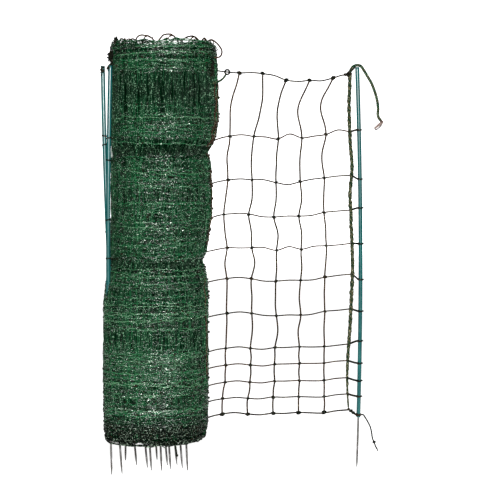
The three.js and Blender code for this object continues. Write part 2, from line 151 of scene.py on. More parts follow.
ground_tail_route = np.add(GROUND_TAIL_ROUTE, (END_POST_X, 0, FOOT_TIE_HEIGHT))
roll_tail_route = np.add(ROLL_TAIL_ROUTE, (ROLL_X, ROLL_Y, ROLL_BOTTOM))
ring_lead_route = np.add(RING_LEAD_ROUTE, (ROLL_X, ROLL_Y, ROLL_TOP))

# The net's frame in the row's frame: the end post's top edge is on the low side of its box
end_post_low, end_post_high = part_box("post_14")
NET_ORIGIN = np.array([
    end_post_low[0] + POST_RADIUS - END_STAKE["top"][0],
    (end_post_low[1] + end_post_high[1]) / 2,
    0.0,
])


def place(points):
    return np.asarray(points, float) + NET_ORIGIN


# Camera, at the photograph's viewing angle

CAMERA_PLACE = (0.0589, -4.5, 1.0)
CAMERA_TILT = math.radians(4.054)
CAMERA_LENS = 104.85

camera = bpy.data.objects.new("camera", bpy.data.cameras.new("camera"))
camera.data.lens = CAMERA_LENS
camera.data.sensor_width = 36
camera.data.clip_end = 200
camera.location = place(CAMERA_PLACE)
camera.rotation_euler = (math.pi / 2 - CAMERA_TILT, 0, 0)
bpy.context.collection.objects.link(camera)
bpy.context.scene.camera = camera


# Materials

class Shader:
    """A material's nodes; what feeds a socket is a number, a colour or another node's output."""

    def __init__(self, name):
        self.material = bpy.data.materials.new(name)
        self.material.use_nodes = True
        self.nodes, self.links = self.material.node_tree.nodes, self.material.node_tree.links
        self.principled = self.nodes["Principled BSDF"]

    def feed(self, socket, value):
        if isinstance(value, tuple):
            socket.default_value = (*value, 1)
        elif isinstance(value, (int, float)):
            socket.default_value = value
        else:
            self.links.new(value, socket)

    def surface(self, name, value):
        self.feed(self.principled.inputs[name], value)

    def math(self, operation, *values):
        node = self.nodes.new("ShaderNodeMath")
        node.operation = operation
        for socket, value in zip(node.inputs, values):
            self.feed(socket, value)
        return node.outputs[0]

    def scaled(self, value, factor, offset):
        return self.math("MULTIPLY_ADD", value, factor, offset)

    def attribute(self, name, output):
        node = self.nodes.new("ShaderNodeAttribute")
        node.attribute_name = name
        return node.outputs[output]

    def where(self, stretch=None):
        place = self.nodes.new("ShaderNodeTexCoord").outputs["Object"]
        if stretch is None:
            return place
        mapping = self.nodes.new("ShaderNodeMapping")
        mapping.inputs["Scale"].default_value = stretch
        self.links.new(place, mapping.inputs[0])
        return mapping.outputs[0]

    def noise(self, scale, detail=2, stretch=None):
        node = self.nodes.new("ShaderNodeTexNoise")
        self.feed(node.inputs["Scale"], scale)
        self.feed(node.inputs["Detail"], detail)
        self.links.new(self.where(stretch), node.inputs["Vector"])
        return node.outputs[0]

    def ramp(self, factor, stops):
        node = self.nodes.new("ShaderNodeValToRGB")
        elements = node.color_ramp.elements
        while len(elements) < len(stops):
            elements.new(0.5)
        for element, (position, colour) in zip(elements, stops):
            element.position = position
            element.color = (*colour, 1)
        self.links.new(factor, node.inputs[0])
        return node.outputs[0]

    def mix(self, factor, first, second, blend="MIX"):
        node = self.nodes.new("ShaderNodeMix")
        node.data_type = "RGBA"
        node.blend_type = blend
        for socket, value in ((0, factor), (6, first), (7, second)):
            self.feed(node.inputs[socket], value)
        return node.outputs[2]

    def bump(self, height, strength, distance):
        node = self.nodes.new("ShaderNodeBump")
        self.feed(node.inputs["Strength"], strength)
        self.feed(node.inputs["Distance"], distance)
        self.links.new(height, node.inputs["Height"])
        self.surface("Normal", node.outputs[0])


BLACK, WHITE = (0, 0, 0), (1, 1, 1)


def polywire(name, tones, ply, filament_and_glint, plies=3, lay=0.009, roughness=0.38, specular=0.5, steel=0.0, dull=0.12):
    """A strand's own tone, plies that wind round it, and single steel filaments as specks of a light colour.
    Where steel is given the specks are metallic and glint under the lamp; without it their glint is painted
    in the base colour. The plastic filaments reflect the share called dull of what the steel ones do."""
    shader = Shader(name)
    split = shader.nodes.new("ShaderNodeSeparateXYZ")
    shader.feed(split.inputs[0], shader.attribute("twist", "Vector"))
    angle = shader.math("ARCTAN2", split.outputs[1], split.outputs[0])
    turns = shader.math("MULTIPLY", split.outputs[2], 2 * math.pi * plies / lay)
    wave = shader.scaled(shader.math("SINE", shader.scaled(angle, plies, turns)), 0.5, 0.5)
    grain, patch = shader.noise(300, 3), shader.noise(25)
    tone = shader.scaled(shader.attribute("tone", "Fac"), 0.75, -0.12)
    base = shader.ramp(shader.scaled(patch, 0.5, tone), tones)
    plied = shader.mix(shader.math("MULTIPLY", wave, 0.5), base, ply)
    speck = shader.ramp(grain, [(0.60, BLACK), (0.65, WHITE)])
    # Painted glint where no steel is given: the specks lighten the base colour towards the filaments' own colour
    shader.surface("Base Color", shader.mix(shader.math("MULTIPLY", speck, 0.8), plied, filament_and_glint))
    if steel:
        shader.surface("Metallic", shader.math("MULTIPLY", speck, steel))
    shader.surface("Roughness", shader.scaled(grain, 0.3, roughness - 0.15))
    shader.surface("Specular IOR Level", shader.scaled(speck, specular, specular * dull))
    shader.bump(wave, 0.5, 0.0005)
    return shader.material


netting_green = polywire(
    "netting_green",
    [(0.15, (0.0002, 0.004, 0.0012)), (0.45, (0.0012, 0.034, 0.010)), (0.75, (0.006, 0.128, 0.040)),
     (0.95, (0.070, 0.210, 0.095))],
    (0.0002, 0.005, 0.0018), (0.90, 0.98, 0.88), roughness=0.24, specular=1.0, steel=0.8, dull=0.45)
stay_green = polywire(
    "stay_green",
    [(0.15, (0.0003, 0.003, 0.001)), (0.45, (0.0008, 0.018, 0.006)), (0.75, (0.003, 0.056, 0.018)),
     (0.95, (0.010, 0.080, 0.028))],
    (0.0003, 0.004, 0.0015), (0.22, 0.44, 0.26), roughness=0.38, specular=0.5)
netting_dark = polywire(
    "netting_dark",
    [(0.2, (0.002, 0.003, 0.002)), (0.6, (0.006, 0.006, 0.003)), (0.9, (0.018, 0.010, 0.005))],
    (0.001, 0.003, 0.002), (0.07, 0.08, 0.06), roughness=0.5, specular=0.2)
hem_dark = polywire(
    "hem_dark",
    [(0.2, (0.0004, 0.0012, 0.0008)), (0.6, (0.0012, 0.0034, 0.0018)), (0.9, (0.003, 0.010, 0.005))],
    (0.0003, 0.001, 0.0006), (0.34, 0.46, 0.34), roughness=0.42, specular=0.22)
netting_brown = polywire(
    "netting_brown",
    [(0.2, (0.008, 0.005, 0.003)), (0.6, (0.022, 0.012, 0.007)), (0.9, (0.038, 0.017, 0.011))],
    (0.006, 0.005, 0.003), (0.20, 0.16, 0.10), plies=3, lay=0.012, roughness=0.55, specular=0.25)
cord_green = polywire(
    "cord_green",
    [(0.2, (0.002, 0.018, 0.008)), (0.5, (0.006, 0.042, 0.018)), (0.85, (0.070, 0.050, 0.024))],
    (0.001, 0.005, 0.003), (0.30, 0.27, 0.16), plies=3, lay=0.010, roughness=0.5, specular=0.3)


def post_plastic_material():
    shader = Shader("post_plastic")
    streaks = shader.noise(6, 3, stretch=(60, 60, 3))
    scuffs = shader.noise(90, 5)
    base = shader.ramp(streaks, [
        (0.30, (0.002, 0.036, 0.038)), (0.55, (0.004, 0.060, 0.059)), (0.80, (0.009, 0.086, 0.079))])
    worn = shader.math("MULTIPLY", shader.ramp(scuffs, [(0.62, BLACK), (0.78, WHITE)]), 0.35)
    shader.surface("Base Color", shader.mix(worn, base, (0.06, 0.19, 0.18)))
    shader.surface("Roughness", shader.scaled(scuffs, 0.25, 0.18))
    shader.surface("Specular IOR Level", 0.38)
    shader.bump(streaks, 0.15, 0.0004)
    return shader.material


def steel_material(name, tones, roughness, metallic=0.85):
    shader = Shader(name)
    drawn = shader.noise(20, 4, stretch=(40, 40, 4))
    stains = shader.noise(70, 5)
    shader.surface("Base Color", shader.mix(0.25, shader.ramp(stains, tones), drawn, "OVERLAY"))
    shader.surface("Metallic", metallic)
    shader.surface("Roughness", shader.scaled(stains, 0.3, roughness))
    shader.bump(drawn, 0.2, 0.0002)
    return shader.material


post_plastic = post_plastic_material()
spike_steel = steel_material("spike_steel", [
    (0.30, (0.034, 0.027, 0.022)), (0.50, (0.080, 0.076, 0.072)), (0.75, (0.150, 0.148, 0.146))],
    0.40, metallic=0.65)
clip_wire_steel = steel_material("clip_wire_steel", [
    (0.30, (0.020, 0.010, 0.008)), (0.60, (0.040, 0.024, 0.020)), (0.80, (0.080, 0.060, 0.052))],
    0.50, metallic=0.3)
clip_steel = steel_material("clip_steel", [
    (0.30, (0.045, 0.022, 0.016)), (0.60, (0.085, 0.060, 0.050)), (0.80, (0.170, 0.130, 0.115))],
    0.40, metallic=0.5)


# Painted shade: the core is near black, for the inner turns of the net that the outer turns shade
def roll_core_material():
    shader = Shader("roll_core")
    strands = shader.noise(420, 4, stretch=(1, 1, 0.12))
    shader.surface("Base Color", shader.ramp(strands, [
        (0.42, (0.0003, 0.002, 0.0008)), (0.62, (0.0012, 0.012, 0.004))]))
    shader.surface("Roughness", 1.0)
    shader.surface("Specular IOR Level", 0.0)
    shader.bump(strands, 1.0, 0.003)
    return shader.material


roll_core_painted_shade = roll_core_material()


# Meshes from arrays

def circle(angle):
    """Level unit vectors at bearings."""
    return np.stack([np.cos(angle), np.sin(angle), np.zeros(len(angle))], axis=1)


def round_angles(count):
    return np.linspace(0, 2 * math.pi, count, endpoint=False)


def sideways(along, outward):
    """Unit vectors across a path and out of it, for its directions; outward is never along it."""
    along = along / np.linalg.norm(along, axis=-1, keepdims=True)
    across = np.cross(along, np.broadcast_to(outward, along.shape))
    across /= np.linalg.norm(across, axis=-1, keepdims=True)
    return across, np.cross(across, along)


class Pieces:
    """Gathers tubes and lumps that share one material into one mesh."""

    def __init__(self):
        self.points, self.quads, self.triangles, self.twists, self.tones = [], [], [], [], []
        self.count = 0

    def add(self, points, quads, triangles, twists, tones):
        self.points.append(points)
        self.quads.append(quads + self.count)
        self.triangles.append(triangles + self.count)
        self.twists.append(twists)
        self.tones.append(tones)
        self.count += len(points)

    def tubes(self, paths, radius, sides, outward=(0, 1, 0), closed=False, tones=None):
        """Tubes along strands × points × 3 paths."""
        paths = np.asarray(paths, float)
        if paths.ndim == 2:
            paths = paths[None]
        strands, count = paths.shape[:2]
        if closed:
            along = np.roll(paths, -1, axis=1) - np.roll(paths, 1, axis=1)
        else:
            along = np.gradient(paths, axis=1)
        across, out = sideways(along, outward)
        angles = 2 * math.pi * np.arange(sides) / sides
        cosines, sines = np.cos(angles)[:, None], np.sin(angles)[:, None]
        rings = cosines * across[:, :, None] + sines * out[:, :, None]
        radius = np.broadcast_to(np.asarray(radius, float), (strands, count))
        points = paths[:, :, None] + rings * radius[:, :, None, None]
        steps = np.linalg.norm(np.diff(paths, axis=1), axis=2)
        run = np.concatenate([np.zeros((strands, 1)), np.cumsum(steps, axis=1)], axis=1)
        twists = np.empty((strands, count, sides, 3))
        twists[..., 0], twists[..., 1], twists[..., 2] = np.cos(angles), np.sin(angles), run[:, :, None]
        if tones is None:
            tones = random.random(strands)
        tones = np.asarray(tones, float)
        tones = tones[:, :, None] if tones.ndim == 2 else tones.reshape(-1, 1, 1)
        tones = np.broadcast_to(tones, (strands, count, sides))
        index = np.arange(strands * count * sides).reshape(strands, count, sides)
        ahead = np.roll(index, -1, axis=1) if closed else index[:, 1:]
        here = index if closed else index[:, :-1]
        quads = np.stack([here, np.roll(here, -1, axis=2), np.roll(ahead, -1, axis=2), ahead], axis=-1)
        triangles = []
        if not closed:
            for corner in range(1, sides - 1):
                first, last = index[:, 0], index[:, -1]
                triangles.append(np.stack([first[:, 0], first[:, corner + 1], first[:, corner]], axis=-1))
                triangles.append(np.stack([last[:, 0], last[:, corner], last[:, corner + 1]], axis=-1))
        triangles = np.concatenate(triangles) if triangles else np.empty((0, 3), int)
        self.add(points.reshape(-1, 3), quads.reshape(-1, 4), triangles, twists.reshape(-1, 3), tones.reshape(-1))

    def lumps(self, centres, sizes, shape, tones=None):
        """Small closed lumps at centres; shape is (points, triangles) of one."""
        corners, faces = shape
        centres = np.asarray(centres, float)
        turns = random.random((len(centres), 3)) * 2 * math.pi
        sizes = np.broadcast_to(np.asarray(sizes, float), (len(centres), 3))
        scaled = corners[None] * sizes[:, None]
        cosines, sines = np.cos(turns[:, 0]), np.sin(turns[:, 0])
        x = scaled[..., 0] * cosines[:, None] - scaled[..., 1] * sines[:, None]
        y = scaled[..., 0] * sines[:, None] + scaled[..., 1] * cosines[:, None]
        points = np.stack([x, y, scaled[..., 2]], axis=-1) + centres[:, None]
        offsets = np.arange(len(centres))[:, None, None] * len(corners)
        triangles = (faces[None] + offsets).reshape(-1, 3)
        if tones is None:
            tones = random.random(len(centres))
        tones = np.repeat(np.broadcast_to(tones, len(centres)), len(corners))
        twists = np.tile(corners, (len(centres), 1)) * 0.01
        self.add(points.reshape(-1, 3), np.empty((0, 4), int), triangles, twists, tones)

    def mesh(self, name):
        points = place(np.concatenate(self.points))
        quads, triangles = np.concatenate(self.quads), np.concatenate(self.triangles)
        corners = np.concatenate([quads.ravel(), triangles.ravel()])
        totals = np.concatenate([np.full(len(quads), 4), np.full(len(triangles), 3)])
        starts = np.concatenate([[0], np.cumsum(totals)[:-1]])
        mesh = bpy.data.meshes.new(name)
        mesh.vertices.add(len(points))
        mesh.vertices.foreach_set("co", points.ravel())
        mesh.loops.add(len(corners))
        mesh.loops.foreach_set("vertex_index", corners)
        mesh.polygons.add(len(totals))
        mesh.polygons.foreach_set("loop_start", starts)
        mesh.polygons.foreach_set("loop_total", totals)
        mesh.polygons.foreach_set("use_smooth", np.ones(len(totals), bool))
        for layer, kind, field, values in (
                ("twist", "FLOAT_VECTOR", "vector", self.twists), ("tone", "FLOAT", "value", self.tones)):
            attribute = mesh.attributes.new(layer, kind, "POINT")
            attribute.data.foreach_set(field, np.concatenate(values).ravel())
        mesh.update()
        return mesh


def add_piece(name, shape, material, slot, *replaced):
    mesh = shape.mesh(name) if isinstance(shape, Pieces) else shape
    mesh.materials.clear()
    mesh.materials.append(material)
    piece = bpy.data.objects.new(name, mesh)
    bpy.context.collection.objects.link(piece)
    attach(piece, "root")
    if replaced:
        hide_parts(*replaced)
    return piece


def ball(subdivisions):
    """Points and triangles of a round lump: an icosahedron, its faces divided."""
    bpy.ops.mesh.primitive_ico_sphere_add(subdivisions=subdivisions, radius=1)
    made = bpy.context.object
    points = np.array([vertex.co[:] for vertex in made.data.vertices])
    faces = np.array([polygon.vertices[:] for polygon in made.data.polygons])
    bpy.data.objects.remove(made, do_unlink=True)
    return points, faces


SMALL_LUMP = ball(1)
ROUND_LUMP = ball(2)


def run_along(path):
    return np.concatenate([[0], np.cumsum(np.linalg.norm(np.diff(path, axis=0), axis=1))])


CURVE_STEPS = 24


def smooth_path(route, step):
    """Points every step along a centripetal Catmull-Rom curve through the route."""
    route = np.asarray(route, float)
    padded = np.concatenate([[2 * route[0] - route[1]], route, [2 * route[-1] - route[-2]]])
    pieces = []
    for start in range(len(route) - 1):
        spots = list(padded[start:start + 4])
        gaps = [max(np.linalg.norm(second - first), 1e-9) ** 0.5 for first, second in zip(spots, spots[1:])]
        times = np.cumsum([0] + gaps)
        span = np.linspace(times[1], times[2], CURVE_STEPS, endpoint=False)[:, None]
        for low, high in (((0, 1, 2), (1, 2, 3)), ((0, 1), (2, 3)), ((1,), (2,))):
            spots = [((times[end] - span) * spots[at] + (span - times[begin]) * spots[at + 1])
                     / (times[end] - times[begin]) for at, (begin, end) in enumerate(zip(low, high))]
        pieces.append(spots[0])
    fine = np.concatenate(pieces + [route[-1:]])
    run = run_along(fine)
    even = np.linspace(0, run[-1], max(3, int(round(run[-1] / step)) + 1))
    return np.stack([np.interp(even, run, fine[:, axis]) for axis in range(3)], axis=1)


def twisted(path, radius, lay, start):
    """One ply that winds round a path."""
    across, out = sideways(np.gradient(path, axis=0), (0, 1, 0))
    angle = (start + 2 * math.pi * run_along(path) / lay)[:, None]
    return path + np.broadcast_to(radius, len(path))[:, None] * (np.cos(angle) * across + np.sin(angle) * out)


# Cords

# Of a cord's diameter: the radius of a ply, and how far its middle is from the cord's
PLY_RADIUS = 0.33
PLY_OFFSET = 0.23


def ply_cord(name, route, diameter, plies, material, slot, node, lay, tones=None, fullness=1.0):
    """A cord of several polywires twisted together, and the path that it follows."""
    path = smooth_path(route, diameter * 0.55)
    pieces = Pieces()
    for ply in range(plies):
        winding = twisted(path, diameter * PLY_OFFSET * fullness, lay, 2 * math.pi * ply / plies)
        pieces.tubes(winding, diameter * PLY_RADIUS * fullness, 7, tones=tones and tones[ply])
    return add_piece(name, pieces, material, slot, node), path


LEAD_DIAMETER = 0.0076
TAIL_DIAMETER = 0.0038
RING_LEAD_DIAMETER = 0.0064

lead, lead_path = ply_cord(
    "feed_lead", lead_route, LEAD_DIAMETER, 4, cord_green, "cord_green", "lead_cord", 0.026, (0.05, 0.8, 0.3, 0.55),
    fullness=1.15)
tail, tail_path = ply_cord(
    "ground_line_end", ground_tail_route, TAIL_DIAMETER, 3, netting_dark, "netting_brown", "ground_tail", 0.012,
    fullness=1.25)
roll_tail, roll_tail_path = ply_cord(
    "roll_line_end", roll_tail_route, TAIL_DIAMETER, 3, netting_dark, "netting_brown", "roll_tail", 0.012,
    fullness=1.25)
ring_lead, ring_lead_path = ply_cord(
    "eye_lead", ring_lead_route, RING_LEAD_DIAMETER, 3, cord_green, "cord_green", "ring_lead", 0.016,
    (0.1, 0.7, 0.3))


# Posts and spikes

def stake_axis(stake, heights):
    share = np.asarray(heights, float) / STAKE_HEIGHT
    bulge = 4 * share * (1 - share) * stake["bow"]
    x = stake["tip"][0] + (stake["top"][0] - stake["tip"][0]) * share + bulge
    y = stake["tip"][1] + (stake["top"][1] - stake["tip"][1]) * share
    return np.stack([x, y, np.broadcast_to(heights, share.shape)], axis=-1)


ROUND_EDGE = 0.0012
ROUND_EDGE_STEP = 0.0004
post_heights = np.concatenate([
    [SPIKE_EXPOSED, SPIKE_EXPOSED + ROUND_EDGE_STEP, SPIKE_EXPOSED + ROUND_EDGE],
    np.linspace(SPIKE_EXPOSED + 0.01, STAKE_HEIGHT - 0.01, 30),
    [STAKE_HEIGHT - ROUND_EDGE, STAKE_HEIGHT - ROUND_EDGE_STEP, STAKE_HEIGHT]])
post_radii = np.full(len(post_heights), POST_RADIUS)
post_radii[[0, -1]] -= ROUND_EDGE
post_radii[[1, -2]] -= ROUND_EDGE_STEP
spike_heights = np.concatenate([
    [0, SPIKE_POINT_LENGTH * 0.5, SPIKE_POINT_LENGTH],
    np.linspace(SPIKE_POINT_LENGTH + 0.02, SPIKE_EXPOSED + SPIKE_SOCKET, 8)])
spike_radii = np.full(len(spike_heights), SPIKE_RADIUS)
spike_radii[:2] = SPIKE_POINT_RADIUS, (SPIKE_POINT_RADIUS + SPIKE_RADIUS) / 2


def rod_piece(name, stake, heights, radii, sides, material, slot, node):
    rod = Pieces()
    rod.tubes(stake_axis(stake, heights), radii, sides, tones=random.random())
    add_piece(name, rod, material, slot, node)


def from_roll(spot):
    return ROLL_X + spot[0], ROLL_Y + spot[1]


stakes = [{"tip": from_roll(tip), "top": from_roll(top), "bow": bow} for tip, top, bow in ROLLED_STAKES]
stakes.append(END_STAKE)
for number, stake in enumerate(stakes, start=1):
    rod_piece(f"post_rod_{number:02d}", stake, post_heights, post_radii, 20,
              post_plastic, "post_plastic", f"post_{number:02d}")
    rod_piece(f"steel_spike_{number:02d}", stake, spike_heights, spike_radii, 14,
              spike_steel, "spike_steel", f"spike_{number:02d}")


# Flat stretch of net

def end_cord_x(height):
    heights = np.linspace(END_CORD_BOTTOM, END_CORD_TOP, len(END_CORD_SWAYS))
    return END_CORD_X + np.interp(height, heights, END_CORD_SWAYS)


def node_height(column, line):
    rises = LOW_LINE_RISES if line < LOW_LINE_COUNT else LINE_RISES
    return LINE_HEIGHTS[line] + (TOP_LINE_RISES if line == TOP_LINE else rises)[column]


def column_x(column, line):
    if column > STAY_COUNT:
        return float(end_cord_x(node_height(column, line)))
    return END_CORD_X - (STAY_COUNT + 1 - column) * (STAY_PITCH + STAY_SPREADS[line]) + STAY_SWAYS[line]


def roll_middle(height):
    return ROLL_X + np.interp(height, ROLL_LEAN_HEIGHTS, ROLL_LEANS)


def roll_radius(height, bearing=None):
    """Radius of the roll at a height, and at a bearing in radians where one is given."""
    height = np.asarray(height, float)
    bulge = np.clip(np.searchsorted(ROLL_ENDS, height, side="right") - 1, 0, len(ROLL_BULGE_RADII) - 1)
    share = np.clip((height - ROLL_ENDS[bulge]) / (ROLL_ENDS[bulge + 1] - ROLL_ENDS[bulge]), 0, 1)
    drawn_in = ROLL_END_RADII[bulge] + (ROLL_END_RADII[bulge + 1] - ROLL_END_RADII[bulge]) * share
    roundness = np.sqrt(1 - np.abs(2 * share - 1) ** 8)
    radius = drawn_in + (ROLL_BULGE_RADII[bulge] - drawn_in) * roundness
    if bearing is None:
        return radius
    facing = 0.5 - 0.5 * np.sin(bearing)
    for waist in WAISTS:
        radius = radius - WAIST_CREASE * facing * np.exp(-(((height - waist) / WAIST_CREASE_WIDTH) ** 2))
    for swell_bearing, swell, spread, top in ROLL_SWELLS:
        off = (np.degrees(bearing) - swell_bearing + 540) % 360 - 180
        above = np.clip((height - top + SWELL_FADE_START) / SWELL_FADE_LENGTH, 0, 1)
        above = above * above * (3 - 2 * above)
        radius = radius + swell * np.exp(-((off / spread) ** 2)) * (1 - above)
    return radius


def roll_point(bearing, height, depth):
    radius = roll_radius(height, bearing) - depth
    x = roll_middle(height) + radius * np.cos(bearing)
    y = ROLL_Y + radius * np.sin(bearing)
    return np.stack([x, y, np.broadcast_to(height, x.shape)], axis=-1)


LINE_RADIUS = 0.0022
GROUND_LINE_RADIUS = 0.0025
STAY_RADIUS = 0.0027
STRAND_STEP = 0.006
# How far the ends of the lines lie inside the roll
LINE_TUCK = 0.010
# Windings of a knot, of its size
KNOT_SHAPE = np.array([0.9, 0.85, 1.0])
KNOT_WINDING_RADIUS = 0.85
KNOT_WINDING_THICKNESS = 0.34


def wobble(path, size, reach=0.035):
    """The path with a soft random wander, none at its ends."""
    run = run_along(path)
    knots = max(4, int(run[-1] / reach))
    wander = np.zeros((len(path), 3))
    for axis in range(3):
        values = random.normal(0, size, knots)
        values[[0, -1]] = 0
        wander[:, axis] = np.interp(run, np.linspace(0, run[-1], knots), values)
    kernel = np.hanning(7) / np.hanning(7).sum()
    smooth = np.stack([np.convolve(wander[:, axis], kernel, mode="same") for axis in range(3)], axis=1)
    return path + smooth


def net_node(column, line):
    return column_x(column, line), 0, node_height(column, line)


def route_through(nodes, shifts):
    """The nodes, with a shifted spot halfway between each two."""
    route = [nodes[0]]
    for first, second, (right, up) in zip(nodes, nodes[1:], shifts):
        route += [((first[0] + second[0]) / 2 + right, 0, (first[2] + second[2]) / 2 + up), second]
    return route


def line_route(line):
    height = LINE_HEIGHTS[line]
    edge = float(roll_middle(height) + roll_radius(height)) - LINE_TUCK
    nodes = [(edge, 0, node_height(0, line))] + [net_node(column, line) for column in range(1, STAY_COUNT + 2)]
    bows = HIGH_LINE_BOWS.get(line, LOW_LINE_BOWS if line < LOW_LINE_COUNT else LINE_BOWS)
    return route_through(nodes, [(0, bow) for bow in bows])


def stay_route(column):
    nodes = [net_node(column, line) for line in range(TOP_LINE + 1)]
    return route_through(nodes, [(bow, 0) for bow in STAY_BOWS[column - 1]])


def wind(pieces, centre, angle, radius, heights, thickness, tone):
    """A strand wound round an upright axis."""
    outward = circle(angle)
    path = np.asarray(centre) + radius * outward
    path[:, 2] = heights
    pieces.tubes(path, thickness, 5, outward=outward, tones=tone)


def knot_wraps(pieces, centre, size, tone):
    """A knot: a round lump with the strand wound round it."""
    pieces.lumps([centre], size * KNOT_SHAPE, ROUND_LUMP, tones=tone)
    angle = np.linspace(0, 4 * math.pi, 22) + random.random() * 6
    lean = random.uniform(-0.5, 0.5)
    heights = centre[2] + np.linspace(-0.5, 0.5, len(angle)) * size + lean * size * 0.5 * np.cos(angle)
    wind(pieces, centre, angle, size * KNOT_WINDING_RADIUS, heights, size * KNOT_WINDING_THICKNESS, tone)


lines, stays, knots = Pieces(), Pieces(), Pieces()
for line in range(TOP_LINE + 1):
    path = wobble(smooth_path(line_route(line), STRAND_STEP), 0.0008)
    lines.tubes(path, GROUND_LINE_RADIUS if line == 0 else LINE_RADIUS, 6, tones=random.random())
for column in range(1, STAY_COUNT + 1):
    path = wobble(smooth_path(stay_route(column), STRAND_STEP), 0.0009)
    stays.tubes(path, STAY_RADIUS, 6, tones=random.random())
KNOT_SIZE = 0.0050
for line in range(TOP_LINE + 1):
    for column in range(1, STAY_COUNT + 1):
        size = KNOT_SIZE * (1.25 if line in (0, TOP_LINE) else 1) * random.uniform(0.9, 1.15)
        knot_wraps(knots, net_node(column, line), size, random.random())

add_piece("panel_lines", lines, netting_brown, "netting_brown", "net_panel")
add_piece("panel_stays", stays, netting_brown, "netting_brown", "net_panel")


# End cord: polywires twisted together, thinner towards the ground

def end_cord():
    heights = np.linspace(END_CORD_BOTTOM, END_CORD_TOP, len(END_CORD_SWAYS))
    route = [(END_CORD_X + sway, 0, height) for sway, height in zip(END_CORD_SWAYS, heights)]
    path = smooth_path(route, 0.003)
    thin = np.interp(path[:, 2], [END_CORD_BOTTOM, 0.23, 0.30, 0.42], [0.35, 0.45, 0.7, 1.0])
    pieces = Pieces()
    plies = 4
    for ply in range(plies):
        winding = twisted(path, 0.0032 * thin, 0.030, 2 * math.pi * ply / plies)
        winding = wobble(winding, 0.0008)
        pieces.tubes(winding, 0.0030 * (0.45 + 0.55 * thin), 7, tones=0.1 + 0.7 * (ply % 2))
    # One polywire goes on down to the knot at the corner
    corner = (float(end_cord_x(END_CORD_BOTTOM)), 0, node_height(STAY_COUNT + 1, 0))
    pieces.tubes(smooth_path([route[0], corner], 0.003), 0.0018, 6, tones=0.2)
    return pieces


add_piece("end_cord_plies", end_cord(), cord_green, "cord_green", "end_cord")


# Ties at the end post

def ring_round(pieces, centre, radius, thickness, turns, tone, lean=0.0):
    """A strand wound a few times round an upright post."""
    count = int(14 * turns)
    angle = np.linspace(0, 2 * math.pi * turns, count) + math.pi
    rise = np.linspace(-0.5, 0.5, count) * thickness * 1.7 * turns + lean * np.cos(angle)
    wind(pieces, centre, angle, radius, centre[2] + rise, thickness, tone)


def post_tie(pieces, stake, height, rise, from_x, turns=2.2):
    """An arm from the end cord to the post, wound round it, with its knot at the far side."""
    post = stake_axis(stake, height + rise)
    reach = POST_RADIUS + 0.0014
    tone = random.random()
    arm = smooth_path([
        (from_x, 0, height), ((from_x + post[0]) / 2, -0.001, height + rise * 0.7),
        (post[0] - reach, 0, height + rise)], 0.004)
    for side in (-1, 1):
        pieces.tubes(arm + np.array([0, side * 0.0010, side * 0.0014]), 0.0018, 6, tones=tone)
    ring_round(pieces, post, reach, 0.0013, turns, tone, lean=random.uniform(-0.001, 0.001))
    knot_wraps(pieces, (from_x, -0.001, height), 0.0042, tone)
    knot_wraps(pieces, (post[0] + reach + 0.001, 0, height + rise), 0.0022, tone)


for index, rise in enumerate(TIE_RISES):
    height = node_height(STAY_COUNT + 1, index + 1)
    ties = Pieces()
    post_tie(ties, END_STAKE, height, rise, float(end_cord_x(height)))
    name = f"tie_knot_{index + 2:02d}"
    add_piece(name, ties, netting_dark, "netting_brown", f"post_tie_{index + 2:02d}")

foot = Pieces()
corner = (float(end_cord_x(END_CORD_BOTTOM)), 0, node_height(STAY_COUNT + 1, 0))
post_tie(foot, END_STAKE, corner[2] + 0.002, FOOT_TIE_HEIGHT - corner[2] - 0.002, corner[0], turns=3.2)
for point in ((0.374, -0.001, 0.178), (0.381, -0.001, 0.172)):
    knot_wraps(foot, point, 0.0052, 0.3)
add_piece("foot_tie_knot", foot, netting_dark, "netting_brown", "foot_tie")

# Knots at the end cord's top, and on the loose ends
knot_wraps(knots, (0.357, -0.001, 1.222), 0.0050, 0.2)
knot_wraps(knots, (0.366, -0.001, 1.222), 0.0050, 0.4)
add_piece("panel_knots", knots, netting_dark, "netting_brown", "net_panel")


# Clip and eye

def clip_piece():
    piece = add_piece("clip_jaw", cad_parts["lead_clip"].data.copy(), clip_steel, "clip_steel", "lead_clip")
    bevel = piece.modifiers.new("edges", "BEVEL")
    bevel.width = 0.0006
    bevel.segments = 2
    bevel.limit_method = "ANGLE"
    return piece


clip = clip_piece()

def wire_loop(name, centre, length, width, heading, radius, sides, tone, material, slot, node):
    """A closed loop in the plane of the flat stretch."""
    angle = round_angles(40)
    along, across = length / 2 * np.cos(angle), width / 2 * np.sin(angle)
    cosine, sine = math.cos(heading), math.sin(heading)
    path = np.stack([along * cosine - across * sine, 0 * angle, along * sine + across * cosine], axis=1)
    pieces = Pieces()
    pieces.tubes(path + np.array(centre), radius, sides, closed=True, tones=tone)
    return add_piece(name, pieces, material, slot, node)


# The bent wire round the clip's jaw
CLIP_MIDDLE = (0.4549, 0, 1.0633)
CLIP_HEADING = -2.330
CLIP_LENGTH = 0.030
CLIP_WIDTH = 0.0085
CLIP_WIRE_RADIUS = 0.0019
clip_wire = wire_loop("clip_wire", CLIP_MIDDLE, CLIP_LENGTH, CLIP_WIDTH, CLIP_HEADING, CLIP_WIRE_RADIUS, 8, 0.4,
                      clip_wire_steel, "clip_steel", "lead_clip")

# The eye on the short lead goes on in the lead's own direction
EYE_WIDTH = 0.014
EYE_REACH = 0.0093
EYE_TWINE_RADIUS = 0.0026
eye_heading = ring_lead_route[-1] - ring_lead_route[-2]
eye_middle = ring_lead_route[-1] + eye_heading / np.linalg.norm(eye_heading) * EYE_REACH
eye = wire_loop("lead_loop", eye_middle, EYE_WIDTH, EYE_WIDTH, 0, EYE_TWINE_RADIUS, 10, 0.5,
                netting_dark, "cord_green", "lead_eye")


